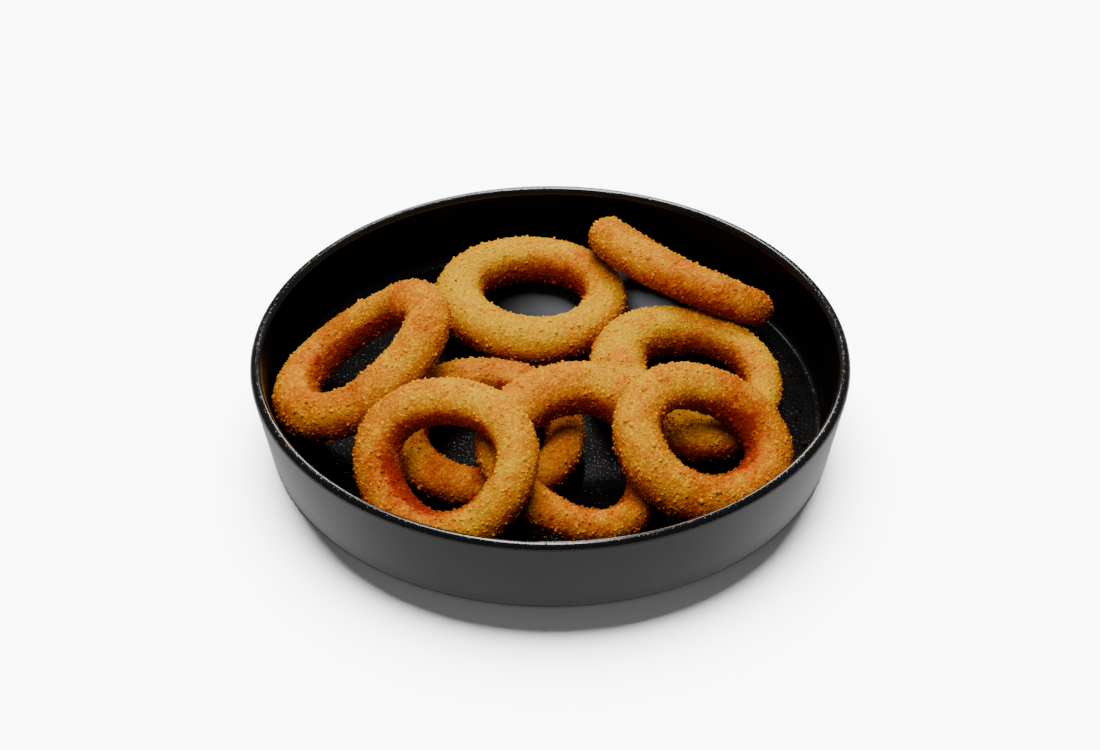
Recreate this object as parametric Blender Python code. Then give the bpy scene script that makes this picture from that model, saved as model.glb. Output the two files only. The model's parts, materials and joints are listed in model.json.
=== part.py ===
"""A side of breaded onion rings in a shallow round black dish.

The dish is turned from one profile. Each onion ring is a closed tube bent
round into a loop of its own shape, and the rings are piled one after the
other: each is lowered straight down over its place until it rests on the
dish's floor, on its wall or on the rings beneath it.

The origin is the middle of the dish's flat underside, with +Z up. -Y is the
front of the serving and +X its right.
"""

import math
from typing import NamedTuple

import bmesh
import bpy
import numpy as np
from mathutils import Matrix, Vector

MM = 0.001

# The dish, in millimetres
DISH_RADIUS = 105.0  # over the lip
DISH_HEIGHT = 31.3
BASE_RADIUS = 100.2  # where the wall would meet the table
BASE_ROUNDING = 3.0
LIP_THICKNESS = 4.2
FLOOR_THICKNESS = 5.9
FLOOR_RADIUS = 98.0  # where the inner wall would meet the floor
FLOOR_FILLET = 4.5
DISH_STEPS = 64

# The pile, in millimetres
REST_GAP = 0.3  # between a ring and what it rests on
DROP_HEIGHT = 60.0  # where a ring starts on its way down
RING_STEPS = 40  # round the loop
TUBE_STEPS = 12  # round the tube

BLACK_GLAZE = (0.012, 0.012, 0.013, 1.0)
PALE_CRUMB = (0.74, 0.44, 0.13, 1.0)
GOLDEN_CRUMB = (0.66, 0.33, 0.07, 1.0)
DEEP_CRUMB = (0.52, 0.22, 0.04, 1.0)


class Ring(NamedTuple):
    """An onion ring, in millimetres and degrees."""

    name: str
    colour: tuple
    x: float  # the middle of the ring over the dish
    y: float
    lean: float  # how far its plane leans from level
    facing: float  # the compass direction that its upper face leans to
    turn: float  # of its long side, in its own plane
    length: float  # over the crust, along the tube that lies at `turn`
    width: float
    thickness: float  # of the tube
    corners: float  # share by which three rounded corners stand out
    corners_at: float
    warp: float  # how far the loop rises and dips like a saddle
    warp_at: float
    uneven: float  # share by which the tube swells on one side
    thick_at: float


# The rings in the order that they were piled
RINGS = (
    Ring("ring_centre", GOLDEN_CRUMB, -22.3, -25.5, 2, 313, 4,
         70.5, 73.5, 15.0, 0.01, -40, 0.0, 0, 0.10, 130),
    Ring("ring_back", PALE_CRUMB, -6.8, 51.5, 3, 40, 36,
         71.5, 71.5, 17.6, 0.01, -5, 0.4, 10, 0.04, 155),
    Ring("ring_right", PALE_CRUMB, 50.2, 2.0, 5, 351, 14,
         68.5, 78.5, 17.4, 0.04, 25, 0.4, -45, 0.20, 160),
    Ring("ring_front", GOLDEN_CRUMB, 9.2, -51.0, 26, 302, 22,
         67.0, 68.0, 15.4, 0.04, 40, 1.0, 50, 0.23, 90),
    Ring("ring_front_right", GOLDEN_CRUMB, 51.2, -49.0, 36, 314, 6,
         67.0, 58.0, 17.0, 0.02, 10, 0.0, 0, 0.03, -80),
    Ring("ring_front_left", PALE_CRUMB, -34.3, -65.0, 42, 233, -28,
         68.0, 60.5, 15.6, 0.03, 40, 1.2, 0, 0.05, 175),
    Ring("ring_left", GOLDEN_CRUMB, -66.3, -2.0, 32, 187, 14,
         73.0, 60.0, 15.8, 0.07, -5, 2.2, 15, 0.10, -140),
    Ring("ring_back_right", DEEP_CRUMB, 46.7, 55.5, 40, 48, -40,
         80.0, 47.0, 14.0, 0.04, 10, 1.0, 0, 0.08, -105),
)


def clear_scene():
    for obj in list(bpy.data.objects):
        bpy.data.objects.remove(obj, do_unlink=True)


def principled(name, colour, roughness):
    material = bpy.data.materials.new(name)
    material.use_nodes = True
    shader = material.node_tree.nodes["Principled BSDF"]
    shader.inputs["Base Color"].default_value = colour
    shader.inputs["Roughness"].default_value = roughness
    shader.inputs["Metallic"].default_value = 0.0
    material.diffuse_color = colour
    return material


def add_object(name, bm, material):
    mesh = bpy.data.meshes.new(name)
    bmesh.ops.recalc_face_normals(bm, faces=bm.faces)
    bm.to_mesh(mesh)
    bm.free()
    mesh.materials.append(material)
    obj = bpy.data.objects.new(name, mesh)
    bpy.context.scene.collection.objects.link(obj)
    return obj


def arc(centre, radius, start, end, steps):
    """Points (r, z) of an arc, with its angles in degrees from +r."""
    points = []
    for i in range(steps + 1):
        angle = math.radians(start + (end - start) * i / steps)
        points.append(
            (
                centre[0] + radius * math.cos(angle),
                centre[1] + radius * math.sin(angle),
            )
        )
    return points


def inner_radius(z):
    """The inner wall's radius at a height, for z between the floor and the lip."""
    lip = LIP_THICKNESS / 2
    low, high = FLOOR_THICKNESS, DISH_HEIGHT - lip
    share = np.clip((z - low) / (high - low), 0.0, 1.0)
    return FLOOR_RADIUS + (DISH_RADIUS - LIP_THICKNESS - FLOOR_RADIUS) * share


def dish_profile():
    """The dish's half section, from its underside round the lip to its floor."""
    lip = LIP_THICKNESS / 2
    fillet_r = float(inner_radius(FLOOR_THICKNESS + FLOOR_FILLET)) - FLOOR_FILLET
    points = [(0.0, 0.0)]
    points += arc(
        (BASE_RADIUS - BASE_ROUNDING, BASE_ROUNDING), BASE_ROUNDING, -90, 0, 3
    )
    points += arc((DISH_RADIUS - lip, DISH_HEIGHT - lip), lip, 0, 180, 6)
    points += arc((fillet_r, FLOOR_THICKNESS + FLOOR_FILLET), FLOOR_FILLET, 0, -90, 4)
    points.append((0.0, FLOOR_THICKNESS))
    return points


def make_dish():
    bm = bmesh.new()
    verts = [bm.verts.new((r * MM, 0.0, z * MM)) for r, z in dish_profile()]
    edges = [bm.edges.new(pair) for pair in zip(verts, verts[1:])]
    bmesh.ops.spin(
        bm,
        geom=verts + edges,
        cent=(0.0, 0.0, 0.0),
        axis=(0.0, 0.0, 1.0),
        angle=2 * math.pi,
        steps=DISH_STEPS,
    )
    bmesh.ops.remove_doubles(bm, verts=bm.verts, dist=0.01 * MM)
    dish = add_object("dish", bm, principled("black glazed stoneware", BLACK_GLAZE, 0.2))
    dish.data.shade_smooth()
    dish.data.set_sharp_from_angle(angle=math.radians(40))
    return dish


def loop_point(ring, t):
    """The middle of the tube at angle t, in the ring's own plane."""
    corners = 1 + ring.corners * np.cos(3 * (t - math.radians(ring.corners_at)))
    half_length = (ring.length - ring.thickness) / 2
    half_width = (ring.width - ring.thickness) / 2
    rise = ring.warp * np.cos(2 * (t - math.radians(ring.warp_at)))
    return np.stack(
        [half_length * np.cos(t) * corners, half_width * np.sin(t) * corners, rise],
        axis=-1,
    )


def tube_radius(ring, t):
    swell = 1 + ring.uneven * np.cos(t - math.radians(ring.thick_at))
    return ring.thickness / 2 * swell


def attitude(ring):
    """Turns the ring in its own plane, then leans that plane over."""
    facing = math.radians(ring.facing)
    return (
        Matrix.Rotation(facing, 3, "Z")
        @ Matrix.Rotation(math.radians(ring.lean), 3, "Y")
        @ Matrix.Rotation(math.radians(ring.turn) - facing, 3, "Z")
    )


def clearance(points, radii, piled):
    """The smallest gap from a tube to the floor, the wall and the piled rings."""
    floor = (points[:, 2] - radii - FLOOR_THICKNESS).min()
    from_axis = np.hypot(points[:, 0], points[:, 1])
    wall = (inner_radius(points[:, 2]) - from_axis - radii).min()
    gaps = [floor, wall]
    for other_points, other_radii in piled:
        apart = np.linalg.norm(points[:, None] - other_points[None], axis=2)
        gaps.append((apart - radii[:, None] - other_radii[None]).min())
    return min(gaps)


def rest_height(ring, piled):
    """Lowers the ring to its place, and returns the height and its tube there."""
    t = np.linspace(0.0, 2 * math.pi, 96, endpoint=False)
    turned = loop_point(ring, t) @ np.array(attitude(ring)).T
    radii = tube_radius(ring, t)
    height, step = DROP_HEIGHT, 0.5
    while step > 0.01:
        lower = turned + (ring.x, ring.y, height - step)
        if clearance(lower, radii, piled) >= REST_GAP:
            height -= step
        else:
            step /= 2
    return height, (turned + (ring.x, ring.y, height), radii)


def make_ring(ring, height):
    """A torus whose every vertex is moved to the ring's own loop and tube."""
    bm = bmesh.new()
    upright = Matrix.Translation((1.0, 0.0, 0.0)) @ Matrix.Rotation(math.pi / 2, 4, "X")
    section = bmesh.ops.create_circle(
        bm, segments=TUBE_STEPS, radius=0.25, matrix=upright
    )["verts"]
    bmesh.ops.spin(
        bm,
        geom=section + list(bm.edges),
        cent=(0.0, 0.0, 0.0),
        axis=(0.0, 0.0, 1.0),
        angle=2 * math.pi,
        steps=RING_STEPS,
    )
    bmesh.ops.remove_doubles(bm, verts=bm.verts, dist=0.001)
    for vert in bm.verts:
        t = math.atan2(vert.co.y, vert.co.x)
        around = math.atan2(vert.co.z, math.hypot(vert.co.x, vert.co.y) - 1.0)
        middle = Vector(loop_point(ring, t))
        along = Vector(loop_point(ring, t + 0.01) - loop_point(ring, t - 0.01))
        outward = along.cross((0.0, 0.0, 1.0)).normalized()
        upward = outward.cross(along).normalized()
        spoke = outward * math.cos(around) + upward * math.sin(around)
        vert.co = (middle + spoke * float(tube_radius(ring, t))) * MM
    material = principled(f"fried crumb {ring.name}", ring.colour, 0.65)
    obj = add_object(ring.name, bm, material)
    obj.data.shade_smooth()
    obj.location = Vector((ring.x, ring.y, height)) * MM
    obj.rotation_euler = attitude(ring).to_euler()
    return obj


def main():
    clear_scene()
    serving = bpy.data.objects.new("serving", None)
    bpy.context.scene.collection.objects.link(serving)
    make_dish().parent = serving
    piled = []
    for ring in RINGS:
        height, tube = rest_height(ring, piled)
        piled.append(tube)
        make_ring(ring, height).parent = serving


main()
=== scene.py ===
"""Looks of a side of breaded onion rings in a black glazed dish.

The CAD model gives the dish and the rings as plain solids in their places.
This add-on gives each ring its crust of fried breadcrumbs, turns the dish again
with a finer profile and its glazes, drops the loose crumbs, and sets the stage.
"""

import json
import math
import random
from typing import NamedTuple

import bmesh
import bpy
import numpy as np
from bpy.props import FloatProperty, FloatVectorProperty, IntProperty, PointerProperty
from mathutils import Matrix, Vector, kdtree, noise

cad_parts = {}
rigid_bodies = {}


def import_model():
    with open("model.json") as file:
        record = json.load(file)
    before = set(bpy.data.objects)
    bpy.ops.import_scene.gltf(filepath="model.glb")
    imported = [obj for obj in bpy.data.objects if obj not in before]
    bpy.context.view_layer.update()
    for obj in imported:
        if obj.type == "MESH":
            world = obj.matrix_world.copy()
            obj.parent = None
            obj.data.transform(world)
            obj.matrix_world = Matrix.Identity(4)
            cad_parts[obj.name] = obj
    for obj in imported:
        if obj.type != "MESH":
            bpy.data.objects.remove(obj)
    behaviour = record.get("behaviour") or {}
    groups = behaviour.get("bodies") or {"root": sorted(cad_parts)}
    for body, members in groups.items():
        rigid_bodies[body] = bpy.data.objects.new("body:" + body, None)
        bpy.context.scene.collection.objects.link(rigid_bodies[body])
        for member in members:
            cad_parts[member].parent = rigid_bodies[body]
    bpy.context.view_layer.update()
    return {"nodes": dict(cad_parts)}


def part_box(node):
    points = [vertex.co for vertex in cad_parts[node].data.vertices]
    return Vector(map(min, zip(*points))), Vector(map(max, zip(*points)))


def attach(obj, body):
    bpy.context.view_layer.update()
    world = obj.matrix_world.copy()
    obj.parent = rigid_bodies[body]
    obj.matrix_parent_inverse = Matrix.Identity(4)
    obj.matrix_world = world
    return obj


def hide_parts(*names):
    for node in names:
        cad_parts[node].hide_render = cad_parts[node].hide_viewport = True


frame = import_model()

bl_info = {
    "name": "Onion Rings Side",
    "version": (1, 0, 0),
    "blender": (4, 5, 0),
    "location": "3D View > Sidebar > Onion Rings",
    "description": "Dresses a dish of breaded onion rings with crust, glaze and light",
    "category": "Object",
}

MM = 0.001
ASPECT = 1100 / 750  # of the picture that the camera is set for


def linear(hex_colour, alpha=1.0):
    """An sRGB hex colour as linear red, green, blue and alpha."""
    values = []
    for i in (0, 2, 4):
        share = int(hex_colour.lstrip("#")[i : i + 2], 16) / 255
        values.append(
            share / 12.92 if share <= 0.04045 else ((share + 0.055) / 1.055) ** 2.4
        )
    return (*values, alpha)


class RingLook(NamedTuple):
    """How one ring came out of the fryer, with the light and shade painted on it."""

    node: str
    slot: str
    browning_and_shade: float  # the ring's own browning, 0 pale straw to 1 dark red-brown, before painted light and shade are added
    lit_side_to: float  # the compass direction of its side painted paler where light falls, in degrees
    uneven: float  # how much paler that side is painted, and how much browner the other: painted light and shade
    seed: int
    into_hole: float = 0.55  # how squarely a face looks into the hole where painted shade starts


RING_LOOKS = (
    RingLook("ring_centre", "fried_crumb_golden", 0.56, 90, 0.03, 11),
    RingLook("ring_back", "fried_crumb_pale", 0.15, 200, 0.09, 12),
    RingLook("ring_right", "fried_crumb_pale", 0.20, 60, 0.07, 13),
    RingLook("ring_front", "fried_crumb_golden", 0.48, 90, 0.05, 14),
    RingLook("ring_front_right", "fried_crumb_golden", 0.50, 170, 0.16, 15),
    RingLook("ring_front_left", "fried_crumb_pale", 0.38, 30, 0.18, 16, 0.42),
    RingLook("ring_left", "fried_crumb_golden", 0.46, 330, 0.06, 17, 0.72),
    RingLook("ring_back_right", "fried_crumb_deep", 0.50, 140, 0.08, 18),
)


class Spot(NamedTuple):
    """A place on one ring's crust, in millimetres, and what happens there."""

    node: str
    place: tuple
    radius: float
    amount: float


SWELLS = (  # how far the coat bulges, in millimetres
    Spot("ring_left", (-51.0, 8.0, 44.0), 7.5, 3.2),
    Spot("ring_left", (-53.0, -5.0, 42.0), 9.0, 1.6),
    Spot("ring_left", (-61.0, -19.0, 36.0), 9.0, 1.3),
)
TOASTED = (  # how much browner, as a share of the whole range
    Spot("ring_front_left", (-56.0, -62.5, 32.0), 4.5, 0.5),
    Spot("ring_front_left", (-51.0, -64.5, 28.0), 4.0, 0.45),
    Spot("ring_front_left", (-40.0, -47.0, 50.0), 3.0, 0.3),
    Spot("ring_left", (-55.0, 9.0, 39.0), 3.0, 0.5),
    Spot("ring_front_right", (68.0, -41.5, 30.0), 4.5, 0.35),
    Spot("ring_front_right", (39.0, -40.5, 49.0), 1.6, 0.45),
    Spot("ring_right", (72.6, 4.6, 19.8), 1.0, 0.6),
    Spot("ring_right", (75.0, 4.1, 20.2), 0.9, 0.6),
    Spot("ring_centre", (-17.0, -3.7, 18.2), 2.2, 0.55),
    Spot("ring_front", (-3.4, -78.4, 22.0), 0.9, 0.7),
    Spot("ring_front", (0.6, -79.2, 21.4), 0.8, 0.7),
)
HERBS = (  # flecks of dried herb on the palest ring: place and length, in millimetres
    ((-34.6, 48.5, 26.2), 1.3),
    ((-33.4, 58.0, 25.8), 1.0),
    ((-13.0, 36.5, 25.5), 1.2),
)


# Settings


class DishSettings(bpy.types.PropertyGroup):
    """The black dish."""

    lip_thickness: FloatProperty(
        name="Lip thickness",
        description="Across the rounded lip",
        default=4.2 * MM,
        unit="LENGTH",
    )
    floor_thickness: FloatProperty(
        name="Floor thickness",
        description="From the underside to the inner floor",
        default=5.9 * MM,
        unit="LENGTH",
    )
    base_radius: FloatProperty(
        name="Base radius",
        description="Where the outer wall would meet the table",
        default=100.2 * MM,
        unit="LENGTH",
    )
    base_rounding: FloatProperty(
        name="Base rounding",
        description="Radius of the edge that stands on the table",
        default=3.0 * MM,
        unit="LENGTH",
    )
    floor_radius: FloatProperty(
        name="Floor radius",
        description="Where the inner wall would meet the floor",
        default=98.0 * MM,
        unit="LENGTH",
    )
    floor_fillet: FloatProperty(
        name="Floor fillet",
        description="Radius between the floor and the inner wall",
        default=4.5 * MM,
        unit="LENGTH",
    )
    glaze: FloatVectorProperty(
        name="Glaze",
        description="Colour of the glossy black glaze",
        default=linear("#0E0E0F")[:3],
        subtype="COLOR",
        size=3,
    )
    wall_glaze: FloatVectorProperty(
        name="Inner wall",
        description="Colour of the thin glaze on the inner wall",
        default=linear("#0A0908")[:3],
        subtype="COLOR",
        size=3,
    )
    satin: FloatVectorProperty(
        name="Outer wall",
        description="Colour of the satin black outer wall",
        default=linear("#242425")[:3],
        subtype="COLOR",
        size=3,
    )


class CrustSettings(bpy.types.PropertyGroup):
    """The fried breadcrumb coat on the rings."""

    grain: FloatProperty(
        name="Crumb size",
        description="Typical distance between neighbouring crumbs",
        default=1.05 * MM,
        unit="LENGTH",
    )
    relief: FloatProperty(
        name="Crumb relief",
        description="How far the highest crumbs stand out of the coat",
        default=0.48 * MM,
        unit="LENGTH",
    )
    lumps: FloatProperty(
        name="Lumps",
        description="How far the batter swells and dips under the crumbs",
        default=0.7 * MM,
        unit="LENGTH",
    )
    # Painted shade: the coat inside each ring's hole is painted browner and darker
    hole_shade: FloatProperty(
        name="Painted hole shade",
        description="How much painted shade browns the coat inside each ring's hole",
        default=0.42,
    )
    mesh_size: FloatProperty(
        name="Mesh size",
        description="Edge length of the crust's mesh",
        default=0.435 * MM,
        unit="LENGTH",
    )
    chips: IntProperty(
        name="Standing chips",
        description="Angular crumbs that stand out of each ring's coat",
        default=2600,
        min=0,
    )
    straw: FloatVectorProperty(
        name="Straw",
        description="Palest crumbs",
        default=linear("#F3BE0C")[:3],
        subtype="COLOR",
        size=3,
    )
    honey: FloatVectorProperty(
        name="Honey",
        description="Lightly fried crumbs",
        default=linear("#EE9E04")[:3],
        subtype="COLOR",
        size=3,
    )
    gold: FloatVectorProperty(
        name="Gold",
        description="Well fried crumbs",
        default=linear("#DC7E02")[:3],
        subtype="COLOR",
        size=3,
    )
    amber: FloatVectorProperty(
        name="Amber",
        description="Crumbs fried a little longer",
        default=linear("#C65701")[:3],
        subtype="COLOR",
        size=3,
    )
    rust: FloatVectorProperty(
        name="Rust",
        description="Crumbs fried the longest",
        default=linear("#A22801")[:3],
        subtype="COLOR",
        size=3,
    )
    # Colour of the painted shade: the coat is mixed toward it between the crumbs, underneath, in the
    # holes and where rings touch
    umber: FloatVectorProperty(
        name="Umber",
        description="The batter between the crumbs, and the coat's shaded underside",
        default=linear("#701A01")[:3],
        subtype="COLOR",
        size=3,
    )


class LooseSettings(bpy.types.PropertyGroup):
    """Crumbs that fell off in the dish."""

    count: IntProperty(
        name="Loose crumbs",
        description="Crumbs on the dish's floor",
        default=46,
        min=1,
    )
    size: FloatProperty(
        name="Size",
        description="Typical radius of a loose crumb",
        default=0.32 * MM,
        unit="LENGTH",
    )


class StageSettings(bpy.types.PropertyGroup):
    """The floor, the lights and the camera."""

    key_power: FloatProperty(
        name="Key light",
        description="Tall narrow softbox behind that lights the dish",
        default=13.0,
        unit="POWER",
    )
    food_power: FloatProperty(
        name="Food light",
        description="Softboxes above the front and the back that light the food alone",
        default=10.5,
        unit="POWER",
    )
    panel_power: FloatProperty(
        name="Back panel",
        description="Low panel behind that shows in the dish's lip",
        default=5.0,
        unit="POWER",
    )
    floor_light: FloatProperty(
        name="Floor light", description="Extra light on the floor alone", default=43.0
    )
    floor_fill: FloatProperty(
        name="Floor fill", description="Soft light from the front on the floor alone", default=0.36
    )
    fill: FloatProperty(
        name="Fill", description="Light that the dim room sends back", default=0.07
    )
    backdrop: FloatProperty(
        name="Backdrop", description="Brightness of the white backdrop", default=8.5
    )
    # Strength of the floor's painted glow, which the camera never sees
    table_glow: FloatProperty(
        name="Table glow",
        description="How brightly the table shows in the dish's outer wall",
        default=0.9,
    )
    floor_colour: FloatVectorProperty(
        name="Floor",
        description="Colour of the white paper floor",
        default=linear("#EFEFEF")[:3],
        subtype="COLOR",
        size=3,
    )


# Helpers


def add_node(tree, kind, inputs=None, stops=None, **settings):
    """Adds a node with its settings, and fills or links its inputs."""
    made = tree.nodes.new(kind)
    for name, value in settings.items():
        setattr(made, name, value)
    for key, value in (inputs or {}).items():
        if isinstance(value, bpy.types.NodeSocket):
            tree.links.new(value, made.inputs[key])
        else:
            made.inputs[key].default_value = value
    if stops:
        ramp = made.color_ramp.elements
        while len(ramp) < len(stops):
            ramp.new(1.0)
        for element, (place, colour) in zip(ramp, stops):
            element.position = place
            element.color = colour
    return made


def new_material(name):
    """A material with an empty Principled surface: (material, tree, shader)."""
    material = bpy.data.materials.new(name)
    material.use_nodes = True
    tree = material.node_tree
    shader = tree.nodes["Principled BSDF"]
    return material, tree, shader


def link_object(name, mesh, *materials):
    obj = bpy.data.objects.new(name, mesh)
    for material in materials:
        mesh.materials.append(material)
    bpy.context.scene.collection.objects.link(obj)
    return obj


def evaluated_mesh(obj, name):
    """The object's mesh with its modifiers applied, as new mesh data."""
    graph = bpy.context.evaluated_depsgraph_get()
    return bpy.data.meshes.new_from_object(obj.evaluated_get(graph))


def positions(mesh):
    co = np.empty(len(mesh.vertices) * 3, np.float32)
    mesh.vertices.foreach_get("co", co)
    return co.reshape(-1, 3).astype(float)


def normals(mesh):
    out = np.empty(len(mesh.vertices) * 3, np.float32)
    mesh.vertex_normals.foreach_get("vector", out)
    return out.reshape(-1, 3).astype(float)


def set_positions(mesh, co):
    mesh.vertices.foreach_set("co", co.astype(np.float32).ravel())
    mesh.update()


def set_attribute(mesh, name, values):
    layer = mesh.attributes.new(name, "FLOAT", "POINT")
    layer.data.foreach_set("value", values.astype(np.float32))


def mesh_of_triangles(name, verts, triangles):
    """A mesh from arrays, for joined copies of one small shape."""
    mesh = bpy.data.meshes.new(name)
    count = len(triangles)
    mesh.vertices.add(len(verts))
    mesh.vertices.foreach_set("co", verts.astype(np.float32).ravel())
    mesh.loops.add(count * 3)
    mesh.loops.foreach_set("vertex_index", triangles.astype(np.int32).ravel())
    mesh.polygons.add(count)
    mesh.polygons.foreach_set("loop_start", np.arange(0, count * 3, 3, dtype=np.int32))
    mesh.update(calc_edges=True)
    return mesh


def join(target, *others):
    """Joins the other objects into the target."""
    with bpy.context.temp_override(
        active_object=target,
        object=target,
        selected_objects=[target, *others],
        selected_editable_objects=[target, *others],
    ):
        bpy.ops.object.join()
    return target


# The dish


def arc(centre, radius, start, end, steps):
    """Points (r, z) of an arc, with its angles in degrees from +r."""
    turns = [math.radians(start + (end - start) * i / steps) for i in range(steps + 1)]
    return [
        (centre[0] + radius * math.cos(a), centre[1] + radius * math.sin(a))
        for a in turns
    ]


def dish_profile(dish, radius, height):
    """The dish's half section from its underside round the lip to its floor."""
    lip = dish.lip_thickness / 2
    low, high = dish.floor_thickness, height - lip
    inner = radius - dish.lip_thickness
    slope = (inner - dish.floor_radius) / (high - low)
    fillet = dish.floor_fillet
    fillet_r = dish.floor_radius + slope * fillet - fillet
    points = [(0.0, 0.0), (radius * 0.5, 0.0)]
    points += arc(
        (dish.base_radius - dish.base_rounding, dish.base_rounding),
        dish.base_rounding,
        -90,
        0,
        8,
    )
    points += arc((radius - lip, height - lip), lip, 0, 180, 24)
    points += arc((fillet_r, low + fillet), fillet, 0, -90, 10)
    points += [(fillet_r * 0.5, low), (0.0, low)]
    return points


def pooled_glaze(name, colour, sharp, dull, pitting, shine, painted_sheen=None):
    """Thick black glaze with slow waves, and pinholes that catch small glints.

    Its roughness wanders between sharp and dull. It can have a painted sheen, a greyer patch that stands
    in for light falling on the floor: (x, y, inner radius, outer radius, colour).
    """
    material, tree, shader = new_material(name)
    place = add_node(tree, "ShaderNodeTexCoord").outputs["Object"]
    shader.inputs["Base Color"].default_value = (*colour, 1.0)
    if painted_sheen:
        x, y, inner, outer, grey = painted_sheen
        away = add_node(
            tree,
            "ShaderNodeVectorMath",
            {0: place, 1: (x, y, 0.0)},
            operation="DISTANCE",
        ).outputs["Value"]
        share = add_node(
            tree,
            "ShaderNodeMapRange",
            {"Value": away, "From Min": inner, "From Max": outer, "To Min": 1.0, "To Max": 0.0},
            interpolation_type="SMOOTHSTEP",
        ).outputs["Result"]
        sheen_base = add_node(
            tree,
            "ShaderNodeMix",
            {"Factor": share, 6: (*colour, 1.0), 7: grey},
            data_type="RGBA",
        ).outputs[2]
        tree.links.new(sheen_base, shader.inputs["Base Color"])
    # Pinholes and grit of about 1 mm over waves of about 14 mm
    grit = add_node(
        tree, "ShaderNodeTexNoise", {"Vector": place, "Scale": 1 / (1.0 * MM), "Detail": 2.0}
    ).outputs["Fac"]
    waves = add_node(
        tree, "ShaderNodeTexNoise", {"Vector": place, "Scale": 1 / (14 * MM), "Detail": 2.0}
    ).outputs["Fac"]
    pins = add_node(
        tree, "ShaderNodeMapRange", {"Value": grit, "From Min": 0.6, "From Max": 0.74}
    ).outputs["Result"]
    wavy = add_node(
        tree,
        "ShaderNodeBump",
        {"Height": waves, "Strength": 0.2, "Distance": 0.1 * MM},
    ).outputs["Normal"]
    pitted = add_node(
        tree,
        "ShaderNodeBump",
        {"Height": pins, "Strength": pitting, "Distance": 0.12 * MM, "Normal": wavy},
    ).outputs["Normal"]
    rough = add_node(
        tree,
        "ShaderNodeMapRange",
        {"Value": waves, "From Min": 0.35, "From Max": 0.65, "To Min": sharp, "To Max": dull},
    ).outputs["Result"]
    tree.links.new(rough, shader.inputs["Roughness"])
    tree.links.new(pitted, shader.inputs["Normal"])
    shader.inputs["IOR"].default_value = 1.5
    shader.inputs["Specular IOR Level"].default_value = shine
    return material


def thin_glaze(colour):
    """The same glaze run thin on the upright inner wall: a dull, deep black."""
    material, tree, shader = new_material("thin black glaze on stoneware")
    place = add_node(tree, "ShaderNodeTexCoord").outputs["Object"]
    # Brushmarks of about 4 mm
    cloud = add_node(
        tree, "ShaderNodeTexNoise", {"Vector": place, "Scale": 1 / (4 * MM), "Detail": 3.0}
    ).outputs["Fac"]
    uneven = add_node(
        tree, "ShaderNodeBump", {"Height": cloud, "Strength": 0.15, "Distance": 0.2 * MM}
    ).outputs["Normal"]
    tree.links.new(uneven, shader.inputs["Normal"])
    shader.inputs["Base Color"].default_value = (*colour, 1.0)
    shader.inputs["Roughness"].default_value = 0.4
    shader.inputs["IOR"].default_value = 1.5
    shader.inputs["Specular IOR Level"].default_value = 0.06
    return material


def satin_glaze(colour):
    """Satin black glaze on the outer wall, over a faintly pebbled clay."""
    material, tree, shader = new_material("satin black glaze on stoneware")
    place = add_node(tree, "ShaderNodeTexCoord").outputs["Object"]
    # Pebbling of about 1.5 mm from the grit in the clay, under clouds of about 18 mm
    grit = add_node(
        tree, "ShaderNodeTexNoise", {"Vector": place, "Scale": 1 / (1.5 * MM), "Detail": 4.0}
    ).outputs["Fac"]
    cloud = add_node(
        tree, "ShaderNodeTexNoise", {"Vector": place, "Scale": 1 / (18 * MM), "Detail": 3.0}
    ).outputs["Fac"]
    pebbled = add_node(
        tree, "ShaderNodeBump", {"Height": grit, "Strength": 0.5, "Distance": 0.12 * MM}
    ).outputs["Normal"]
    tone = add_node(
        tree,
        "ShaderNodeValToRGB",
        {"Fac": cloud},
        stops=(
            (0.3, (*[c * 0.8 for c in colour], 1.0)),
            (0.7, (*[c * 1.2 for c in colour], 1.0)),
        ),
    ).outputs["Color"]
    tree.links.new(tone, shader.inputs["Base Color"])
    tree.links.new(pebbled, shader.inputs["Normal"])
    shader.inputs["Roughness"].default_value = 0.34
    shader.inputs["IOR"].default_value = 1.5
    return material


def dark_foot(colour):
    """The edge that stands on the table in matt dark clay: painted shade for the dark line where the dish
    meets the table.
    """
    material, tree, shader = new_material("dark matt foot with painted shade")
    place = add_node(tree, "ShaderNodeTexCoord").outputs["Object"]
    # Clay grit of about 0.8 mm
    grit = add_node(
        tree, "ShaderNodeTexNoise", {"Vector": place, "Scale": 1 / (0.8 * MM), "Detail": 3.0}
    ).outputs["Fac"]
    rough = add_node(
        tree, "ShaderNodeBump", {"Height": grit, "Strength": 0.6, "Distance": 0.15 * MM}
    ).outputs["Normal"]
    tree.links.new(rough, shader.inputs["Normal"])
    shader.inputs["Base Color"].default_value = (*colour, 1.0)
    shader.inputs["Roughness"].default_value = 0.85
    shader.inputs["Specular IOR Level"].default_value = 0.2
    return material


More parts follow.
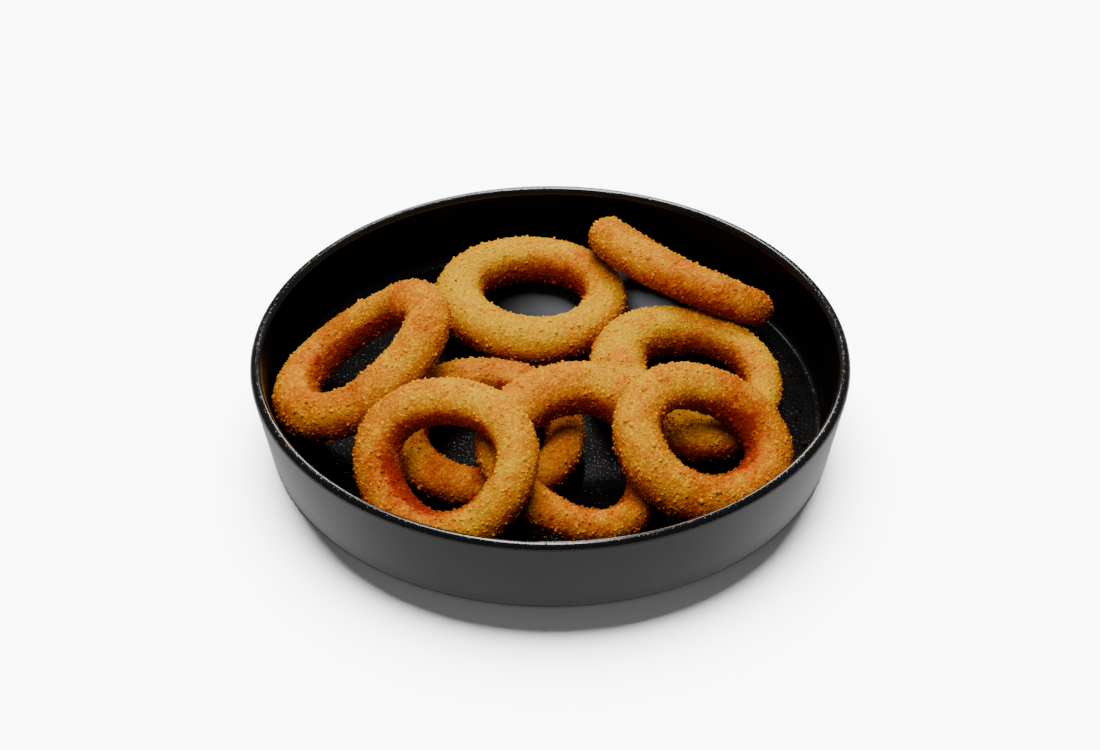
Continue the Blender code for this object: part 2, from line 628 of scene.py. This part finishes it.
class RINGS_OT_dish(bpy.types.Operator):
    """Turn the black dish with its fine profile and glazes"""

    bl_idname = "onion_rings.dish"
    bl_label = "Make the dish"

    def execute(self, context):
        dish = context.scene.onion_dish
        low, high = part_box("dish")
        radius, height = (high[0] - low[0]) / 2, high[2] - low[2]
        profile = dish_profile(dish, radius, height)
        bm = bmesh.new()
        verts = [bm.verts.new((r, 0.0, z)) for r, z in profile]
        edges = [bm.edges.new(pair) for pair in zip(verts, verts[1:])]
        bmesh.ops.spin(
            bm,
            geom=verts + edges,
            cent=(0, 0, 0),
            axis=(0, 0, 1),
            angle=2 * math.pi,
            steps=288,
            use_merge=True,
        )
        bmesh.ops.remove_doubles(bm, verts=bm.verts, dist=0.001 * MM)
        bmesh.ops.recalc_face_normals(bm, faces=bm.faces)
        lip_low = height - dish.lip_thickness / 2
        floor_high = dish.floor_thickness + dish.floor_fillet * 0.5
        for face in bm.faces:
            middle = face.calc_center_median()
            outward = face.normal.dot(Vector((middle.x, middle.y, 0)).normalized())
            face.smooth = True
            if middle.z > lip_low:
                face.material_index = 0
            elif middle.z < dish.base_rounding and outward > -0.1 and face.normal.z < 0.1:
                # Painted shade: the lowest band of the base gets the dark matt foot
                face.material_index = 3 if middle.z < dish.base_rounding * 0.45 else 2
            elif outward > 0.5:
                face.material_index = 2
            else:
                face.material_index = 4 if middle.z < floor_high else 1
        mesh = bpy.data.meshes.new("black_dish")
        bm.to_mesh(mesh)
        bm.free()
        piece = link_object(
            "black_dish",
            mesh,
            pooled_glaze("glossy black glaze on stoneware", dish.glaze, 0.08, 0.2, 0.5, 0.5),
            thin_glaze(dish.wall_glaze),
            satin_glaze(dish.satin),
            dark_foot(dish.wall_glaze),
            pooled_glaze(
                "pooled black glaze on stoneware",
                dish.wall_glaze,
                0.10,
                0.16,
                0.2,
                0.16,
                # Painted sheen: a greyer patch at the back of the floor stands in for the light that
                # falls there
                (18 * MM, 58 * MM, 12 * MM, 44 * MM, linear("#64676B")),
            ),
        )
        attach(piece, "root")
        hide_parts("dish")
        return {"FINISHED"}


# The rings


def fried_crumb(crust):
    """Breadcrumb coat fried in oil: pale tips, amber flanks, painted umber shade in the gaps.

    Dry and rough, with a faint oily gleam on the finest edges.
    """
    material, tree, shader = new_material("fried breadcrumb coat")
    place = add_node(tree, "ShaderNodeTexCoord").outputs["Object"]
    # The coat's browning, with painted light and shade added to it
    browning_and_shade = add_node(tree, "ShaderNodeAttribute", attribute_name="browning_and_shade").outputs["Fac"]
    painted_shade = add_node(tree, "ShaderNodeAttribute", attribute_name="painted_shade").outputs["Fac"]
    # Grit of about 0.45 mm inside each crumb
    grit = add_node(
        tree,
        "ShaderNodeTexNoise",
        {"Vector": place, "Scale": 1 / (0.45 * MM), "Detail": 2.0, "Roughness": 0.6},
    ).outputs["Fac"]
    mottled = add_node(
        tree,
        "ShaderNodeMath",
        {0: grit, 1: 0.5, 2: -0.25},
        operation="MULTIPLY_ADD",
    ).outputs["Value"]
    tone = add_node(
        tree, "ShaderNodeMath", {0: browning_and_shade, 1: mottled}, operation="ADD"
    ).outputs["Value"]
    coat = add_node(
        tree,
        "ShaderNodeValToRGB",
        {"Fac": tone},
        stops=(
            (0.0, (*crust.straw, 1.0)),
            (0.28, (*crust.honey, 1.0)),
            (0.55, (*crust.gold, 1.0)),
            (0.85, (*crust.amber, 1.0)),
            (1.0, (*crust.rust, 1.0)),
        ),
    ).outputs["Color"]
    # Painted shade: umber mixed over the coat by the shade attribute
    gaps = add_node(
        tree,
        "ShaderNodeMix",
        {"Factor": painted_shade, 6: coat, 7: (*crust.umber, 1.0)},
        data_type="RGBA",
    ).outputs[2]
    bump = add_node(
        tree,
        "ShaderNodeBump",
        {"Height": grit, "Strength": 0.6, "Distance": 0.25 * MM},
    )
    tree.links.new(gaps, shader.inputs["Base Color"])
    tree.links.new(bump.outputs["Normal"], shader.inputs["Normal"])
    shader.inputs["Roughness"].default_value = 0.65
    shader.inputs["IOR"].default_value = 1.45
    shader.inputs["Specular IOR Level"].default_value = 0.12
    return material


def smooth_tube(node, mesh_size):
    """The CAD ring as a smooth closed mesh of small even faces."""
    bm = bmesh.new()
    bm.from_mesh(node.data)
    bmesh.ops.remove_doubles(bm, verts=bm.verts, dist=0.01 * MM)
    bmesh.ops.join_triangles(
        bm,
        faces=bm.faces,
        angle_face_threshold=math.radians(40),
        angle_shape_threshold=math.radians(60),
    )
    mesh = bpy.data.meshes.new("tube")
    bm.to_mesh(mesh)
    bm.free()
    obj = link_object("tube", mesh)
    smooth = obj.modifiers.new("Smooth", "SUBSURF")
    smooth.levels = smooth.render_levels = 2
    even = obj.modifiers.new("Even", "REMESH")
    even.mode = "VOXEL"
    even.voxel_size = mesh_size
    tube = evaluated_mesh(obj, "tube")
    bpy.data.objects.remove(obj)
    bpy.data.meshes.remove(mesh)
    return tube


def smoothstep(low, high, x):
    t = np.clip((x - low) / (high - low), 0, 1)
    return t * t * (3 - 2 * t)


def crumb_field(co, crust, seed):
    """Noise on the crust: (lumps, crumb height, crumb tone, patchiness), each about -1 to 1 or 0 to 1."""
    shift = Vector((seed * 0.37, seed * 0.11, seed * 0.23))
    grain = 1 / crust.grain
    lumps, heights, tones, patches = [], [], [], []
    for p in co:
        v = Vector(p)
        wobble = v + noise.noise_vector(v * (0.6 * grain) + shift) * (0.25 * crust.grain)
        dist, cells = noise.voronoi((wobble * grain) + shift)
        own = cells[0] * 7.31
        rank = noise.cell(own + Vector((3.7, 1.9, 8.3)))
        heights.append((dist[1] - dist[0], dist[0], rank))
        tones.append(noise.cell(own * 1.7 + Vector((13.1, 5.3, 2.9))))
        lumps.append(
            noise.noise(v * 85 + shift) * 0.75
            + noise.noise(v * 230 + shift) * 0.5
            + noise.noise(v * 430 + shift) * 0.22
        )
        patches.append(
            noise.noise(v * 65 - shift) * 0.8 + noise.noise(v * 190 - shift) * 0.6
        )
    edge, near, rank = np.array(heights).T
    dome = smoothstep(0.0, 0.45, edge) * (1 - 0.55 * np.clip(near, 0, 1) ** 2)
    height = dome * (0.35 + 0.65 * np.clip(rank, 0, 1))
    return np.array(lumps), height, np.array(tones), np.array(patches)


def chip_shapes(rng, count=10):
    """Angular crumbs: small ico spheres pulled out of shape, as unit vertex arrays."""
    bm = bmesh.new()
    bmesh.ops.create_icosphere(bm, subdivisions=1, radius=1.0)
    bm.verts.ensure_lookup_table()
    base = np.array([v.co for v in bm.verts])
    triangles = np.array([[v.index for v in f.verts] for f in bm.faces])
    bm.free()
    shapes = []
    for _ in range(count):
        pull = 1 + rng.uniform(-0.38, 0.38, (len(base), 1))
        shapes.append(base * pull * rng.uniform(0.6, 1.2, 3))
    return shapes, triangles


def scatter_chips(mesh, count, size, seed, height, name):
    """Joined chips on a mesh's faces: (mesh, index of the nearest vertex for each chip)."""
    rng = np.random.default_rng(seed)
    shapes, triangles = chip_shapes(rng)
    faces = len(mesh.polygons)
    area = np.empty(faces, np.float32)
    mesh.polygons.foreach_get("area", area)
    centre = np.empty(faces * 3, np.float32)
    mesh.polygons.foreach_get("center", centre)
    normal = np.empty(faces * 3, np.float32)
    mesh.polygons.foreach_get("normal", normal)
    centre, normal = centre.reshape(-1, 3), normal.reshape(-1, 3)
    first = np.array([p.vertices[0] for p in mesh.polygons])
    picked = rng.choice(faces, count, p=area / area.sum())
    verts, tris, corner = [], [], []
    for k, f in enumerate(picked):
        shape = shapes[rng.integers(len(shapes))]
        radius = size * math.exp(rng.normal(-0.25, 0.4))
        turn = np.array(Matrix.Rotation(rng.uniform(0, 2 * math.pi), 3, Vector(rng.normal(size=3))))
        at = centre[f] + normal[f] * (radius * height)
        verts.append(shape @ turn.T * radius + at)
        tris.append(triangles + k * len(shape))
        corner += [first[f]] * len(shape)
    made = mesh_of_triangles(name, np.concatenate(verts), np.concatenate(tris))
    return made, np.array(corner), rng


def near(co, spot):
    """1 at the spot, falling to 0 a little past its radius."""
    away = np.linalg.norm(co - np.array(spot.place) * MM, axis=1)
    return np.exp(-((away / (spot.radius * MM)) ** 2))


def facing_hole(co, out):
    """How squarely each point of a ring faces its hole, from 0 to 1."""
    axis = np.linalg.svd(co[::40], full_matrices=False)[2][2]
    radial = co - np.outer(co @ axis, axis)
    radial /= np.linalg.norm(radial, axis=1)[:, None]
    return np.clip(-(out * radial).sum(axis=1), 0, 1)


def touching(co, node):
    """1 where another ring's surface is close, falling to 0 at about 8 mm: a mask for painted shade
    between rings.
    """
    others = [
        np.concatenate([positions(other.data), [f.center for f in other.data.polygons]])
        for name, other in frame["nodes"].items()
        if name.startswith("ring") and name != node
    ]
    points = np.concatenate(others)
    tree = kdtree.KDTree(len(points))
    for k, p in enumerate(points):
        tree.insert(p, k)
    tree.balance()
    away = np.array([tree.find(p)[2] for p in co])
    return 1 - smoothstep(1.5 * MM, 8 * MM, away)


def crust_name(node):
    return node.replace("ring", "crust")


def make_crust(look, crust, material):
    node = frame["nodes"][look.node]
    mesh = smooth_tube(node, crust.mesh_size)
    co, out = positions(mesh), normals(mesh)
    lumps, height, tone, patches = crumb_field(co, crust, look.seed)
    # Smoothing shrank the tube by about 0.35 mm, and the crumbs' tips are its true surface
    proud = 0.35 * MM + lumps * crust.lumps * 0.5 + (height - 0.75) * crust.relief
    proud += sum(
        near(co, spot) * spot.amount * MM for spot in SWELLS if spot.node == look.node
    )
    set_positions(mesh, co + out * proud[:, None])
    middle = co.mean(axis=0)
    side = np.arctan2(co[:, 1] - middle[1], co[:, 0] - middle[0])
    # Painted light and shade: the ring's side in the set direction is painted paler, the far side browner
    lit_side = np.cos(side - math.radians(look.lit_side_to))
    # Painted shade where another ring comes close
    close = touching(co, look.node)
    # Painted shade inside the hole, from where a face looks into it squarely enough
    in_hole = smoothstep(look.into_hole, 1.0, facing_hole(co - middle, out))
    toasted = sum(
        near(co, spot) * spot.amount for spot in TOASTED if spot.node == look.node
    )
    # The ring's browning, toasted spots, patches and crumb tones, with painted light and shade added
    browning_and_shade = (
        look.browning_and_shade
        - look.uneven * lit_side
        # Painted shade: faces that look down are painted browner
        + 0.95 * (1 - look.browning_and_shade) * smoothstep(-0.7, 0.2, -out[:, 2])
        # Painted shade inside the hole
        + crust.hole_shade * in_hole
        # Painted shade where rings touch
        + 0.34 * close
        + toasted
        + 0.4 * patches
        + 0.2 * (tone - 0.5)
        - 0.08 * (height - 0.4)
    )
    # Painted shade, mixed toward umber: in the gaps between crumbs, underneath, inside the hole and where
    # rings touch
    gaps = 1 - smoothstep(0.02, 0.34, height)
    under = smoothstep(-0.25, 0.8, -out[:, 2])
    shade = np.maximum(in_hole, under) + 0.5 * close
    painted_shade = np.clip(0.4 * gaps + 0.34 * shade, 0, 0.8)
    set_attribute(mesh, "browning_and_shade", browning_and_shade)
    set_attribute(mesh, "painted_shade", painted_shade)
    for polygon in mesh.polygons:
        polygon.use_smooth = True
    name = crust_name(look.node)
    piece = link_object(name, mesh, material)
    chips, corner, rng = scatter_chips(
        mesh, crust.chips, 0.42 * MM, look.seed, 0.25, name + "_chips"
    )
    each = rng.uniform(-0.24, 0.08, crust.chips).repeat(len(corner) // crust.chips)
    set_attribute(chips, "browning_and_shade", browning_and_shade[corner] + each)
    set_attribute(chips, "painted_shade", (0.34 * shade)[corner])
    join(piece, link_object(name + "_chips", chips, material))
    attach(piece, "root")
    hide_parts(look.node)
    return piece


class RINGS_OT_crust(bpy.types.Operator):
    """Coat every onion ring in fried breadcrumbs"""

    bl_idname = "onion_rings.crust"
    bl_label = "Coat the rings"

    def execute(self, context):
        crust = context.scene.onion_crust
        material = fried_crumb(crust)
        for look in RING_LOOKS:
            make_crust(look, crust, material)
        return {"FINISHED"}


# What fell off


def dried_herb():
    """Dried green herb: thin, matt flakes."""
    material, tree, shader = new_material("dried herb")
    shader.inputs["Base Color"].default_value = linear("#4F5A16")
    shader.inputs["Roughness"].default_value = 0.8
    return material


class RINGS_OT_loose(bpy.types.Operator):
    """Drop the loose crumbs on the dish's floor and the herb flecks on a ring"""

    bl_idname = "onion_rings.loose"
    bl_label = "Drop the crumbs"

    def execute(self, context):
        loose = context.scene.onion_loose
        crust = context.scene.onion_crust
        floor = context.scene.onion_dish.floor_thickness
        rng = np.random.default_rng(5)
        shapes, triangles = chip_shapes(rng)
        material = bpy.data.materials.get("fried breadcrumb coat") or fried_crumb(crust)
        verts, tris, browning_and_shade = [], [], []

        def drop(x, y, radius, tone):
            shape = shapes[rng.integers(len(shapes))] * radius
            lift = floor - shape[:, 2].min()
            tris.append(triangles + sum(len(v) for v in verts))
            verts.append(shape + (x, y, lift))
            browning_and_shade.extend([tone] * len(shape))

        drop(89.0 * MM, -21.6 * MM, 0.75 * MM, 0.1)
        for k in range(loose.count):
            # Most lie in the gap at the right, where the floor shows
            if k % 3:
                x, y = rng.normal((87 * MM, -6 * MM), (4 * MM, 13 * MM))
            else:
                turn, r = rng.uniform(0, 2 * math.pi), 90 * MM * math.sqrt(rng.uniform())
                x, y = r * math.cos(turn), r * math.sin(turn)
            if math.hypot(x, y) < 93 * MM:
                size = loose.size * math.exp(rng.normal(0, 0.35))
                drop(x, y, size, rng.uniform(0.3, 1.0))
        mesh = mesh_of_triangles("loose_crumbs", np.concatenate(verts), np.concatenate(tris))
        set_attribute(mesh, "browning_and_shade", np.array(browning_and_shade))
        set_attribute(mesh, "painted_shade", np.zeros(len(browning_and_shade)))
        crumbs = link_object("loose_crumbs", mesh, material)

        bm = bmesh.new()
        for place, length in HERBS:
            bmesh.ops.create_icosphere(
                bm,
                subdivisions=1,
                radius=length * MM / 2,
                matrix=Matrix.Translation(Vector(place) * MM)
                @ Matrix.Rotation(rng.uniform(0, math.pi), 4, "Z")
                @ Matrix.Diagonal((1, 0.5, 0.35, 1)),
            )
        mesh = bpy.data.meshes.new("herb_flecks")
        bm.to_mesh(mesh)
        bm.free()
        herbs = link_object("herb_flecks", mesh, dried_herb())
        for piece, slot in ((crumbs, "fried_crumb_golden"), (herbs, "fried_crumb_pale")):
            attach(piece, "root")
        return {"FINISHED"}


# The stage


def paper_sweep(stage, dish_radius):
    """Matt white paper under the dish.

    For every ray but the camera's it glows instead: a painted reflection that shows in the dish's wall as
    an even pale glow, with painted shadow that dims it close to the dish.
    """
    material, tree, shader = new_material("matt white paper")
    shader.inputs["Base Color"].default_value = (*stage.floor_colour, 1.0)
    shader.inputs["Roughness"].default_value = 1.0
    shader.inputs["Specular IOR Level"].default_value = 0.0
    place = add_node(tree, "ShaderNodeTexCoord").outputs["Object"]
    away = add_node(tree, "ShaderNodeVectorMath", {0: place}, operation="LENGTH")
    glow = add_node(
        tree,
        "ShaderNodeMapRange",
        {
            "Value": away.outputs["Value"],
            "From Min": dish_radius - 9 * MM,
            "From Max": dish_radius - 1 * MM,
            "To Min": 0.05,
            "To Max": stage.table_glow,
        },
        interpolation_type="SMOOTHSTEP",
    )
    # Painted shadow: the dish's own shadow lies in front of it, so the glow is dimmer there than at the
    # sides
    heading = add_node(tree, "ShaderNodeVectorMath", {0: place}, operation="NORMALIZE")
    forward = add_node(tree, "ShaderNodeSeparateXYZ", {0: heading.outputs["Vector"]})
    open_side = add_node(
        tree,
        "ShaderNodeMapRange",
        {
            "Value": forward.outputs["Y"],
            "From Min": -0.95,
            "From Max": -0.6,
            "To Min": 1.0,
            "To Max": 1.4,
        },
        interpolation_type="SMOOTHSTEP",
    )
    strength = add_node(
        tree,
        "ShaderNodeMath",
        {0: glow.outputs["Result"], 1: open_side.outputs["Result"]},
        operation="MULTIPLY",
    )
    lit = add_node(tree, "ShaderNodeEmission", {"Strength": strength.outputs["Value"]})
    seen = add_node(tree, "ShaderNodeLightPath").outputs["Is Camera Ray"]
    both = add_node(
        tree,
        "ShaderNodeMixShader",
        {0: seen, 1: lit.outputs["Emission"], 2: shader.outputs["BSDF"]},
    )
    output = tree.nodes["Material Output"]
    tree.links.new(both.outputs["Shader"], output.inputs["Surface"])
    material.cycles.emission_sampling = "NONE"
    return material


def add_light(name, kind, place, aim, **settings):
    light = bpy.data.lights.new(name, kind)
    for key, value in settings.items():
        setattr(light, key, value)
    obj = bpy.data.objects.new(name, light)
    obj.location = place
    obj.rotation_euler = (Vector(aim) - Vector(place)).to_track_quat("-Z", "Y").to_euler()
    bpy.context.scene.collection.objects.link(obj)
    return obj


def shine_on(light, pieces):
    """Lets a light reach these objects alone."""
    receivers = bpy.data.collections.new(light.name + "_receivers")
    for piece in pieces:
        receivers.objects.link(piece)
    light.light_linking.receiver_collection = receivers


class RINGS_OT_stage(bpy.types.Operator):
    """Lay the pale floor, hang the lights and set up the camera"""

    bl_idname = "onion_rings.stage"
    bl_label = "Set the stage"

    def execute(self, context):
        stage = context.scene.onion_stage
        scene = context.scene
        bm = bmesh.new()
        bmesh.ops.create_grid(bm, x_segments=1, y_segments=1, size=30.0)
        mesh = bpy.data.meshes.new("floor")
        bm.to_mesh(mesh)
        bm.free()
        low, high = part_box("dish")
        floor = link_object("floor", mesh, paper_sweep(stage, high[0]))

        key = add_light(
            "key_softbox", "AREA", (-0.04, 0.46, 0.99), (0, 0, 0.02),
            energy=stage.key_power, shape="RECTANGLE", size=0.24, size_y=0.72,
        )
        panel = add_light(
            "back_panel", "AREA", (0.0, 1.12, 0.43), (0, 0, 0.02),
            energy=stage.panel_power, shape="RECTANGLE", size=0.46, size_y=0.32,
        )
        sweep = add_light(
            "floor_light", "SUN", (-0.03, 0.69, 1.0), (0, 0, 0),
            energy=stage.floor_light, angle=math.radians(50),
        )
        above = add_light(
            "food_light_front", "AREA", (-0.10, -0.30, 1.0), (0, 0, 0.02),
            energy=stage.food_power, shape="SQUARE", size=0.5, color=(1.0, 0.94, 0.8),
        )
        behind = add_light(
            "food_light_back", "AREA", (-0.04, 0.53, 0.95), (0, 0, 0.02),
            energy=stage.food_power * 0.75, shape="SQUARE", size=0.4, color=(1.0, 0.94, 0.8),
        )
        food = [bpy.data.objects[crust_name(look.node)] for look in RING_LOOKS]
        for light in (above, behind):
            shine_on(light, food)
        for light in (key, panel):
            shine_on(light, (bpy.data.objects["black_dish"],))
        near = add_light(
            "floor_fill", "SUN", (0.0, -0.7, 1.0), (0, 0, 0),
            energy=stage.floor_fill, angle=math.radians(90),
        )
        for light in (sweep, near):
            shine_on(light, (floor,))

        world = bpy.data.worlds.new("dim_room")
        world.use_nodes = True
        tree = world.node_tree
        rays = add_node(tree, "ShaderNodeLightPath").outputs
        dim = add_node(
            tree,
            "ShaderNodeMix",
            {"Factor": rays["Is Glossy Ray"], 6: (*[stage.fill] * 3, 1.0), 7: (0.15,) * 3 + (1.0,)},
            data_type="RGBA",
        ).outputs[2]
        glow = add_node(
            tree,
            "ShaderNodeMix",
            {"Factor": rays["Is Camera Ray"], 6: dim, 7: (*[stage.backdrop] * 3, 1.0)},
            data_type="RGBA",
        ).outputs[2]
        tree.links.new(glow, tree.nodes["Background"].inputs["Color"])
        scene.world = world

        low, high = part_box("dish")
        camera = bpy.data.cameras.new("camera")
        camera.lens = 85.1
        camera.sensor_width = 36.0
        camera.clip_start = 0.01
        viewer = bpy.data.objects.new("camera", camera)
        viewer.location = (-0.0001, -0.7279, high[2] + 0.5482)
        viewer.rotation_euler = (math.radians(52.44), 0, 0)
        scene.collection.objects.link(viewer)
        scene.camera = viewer
        return {"FINISHED"}


class RINGS_PT_panel(bpy.types.Panel):
    """Sizes, colours and steps of the serving"""

    bl_label = "Onion Rings"
    bl_idname = "RINGS_PT_panel"
    bl_space_type = "VIEW_3D"
    bl_region_type = "UI"
    bl_category = "Onion Rings"

    def draw(self, context):
        scene = context.scene
        for settings, steps in (
            (scene.onion_dish, ("onion_rings.dish",)),
            (scene.onion_crust, ("onion_rings.crust",)),
            (scene.onion_loose, ("onion_rings.loose",)),
            (scene.onion_stage, ("onion_rings.stage",)),
        ):
            box = self.layout.box()
            for name in settings.__annotations__:
                box.prop(settings, name)
            for step in steps:
                box.operator(step)


SETTINGS = {
    "onion_dish": DishSettings,
    "onion_crust": CrustSettings,
    "onion_loose": LooseSettings,
    "onion_stage": StageSettings,
}
CLASSES = (
    *SETTINGS.values(),
    RINGS_OT_dish,
    RINGS_OT_crust,
    RINGS_OT_loose,
    RINGS_OT_stage,
    RINGS_PT_panel,
)


def register():
    for cls in CLASSES:
        bpy.utils.register_class(cls)
    for name, cls in SETTINGS.items():
        setattr(bpy.types.Scene, name, PointerProperty(type=cls))


def unregister():
    for name in SETTINGS:
        delattr(bpy.types.Scene, name)
    for cls in reversed(CLASSES):
        bpy.utils.unregister_class(cls)


def main():
    register()
    bpy.ops.onion_rings.dish()
    bpy.ops.onion_rings.crust()
    bpy.ops.onion_rings.loose()
    bpy.ops.onion_rings.stage()


if __name__ == "__main__":
    main()
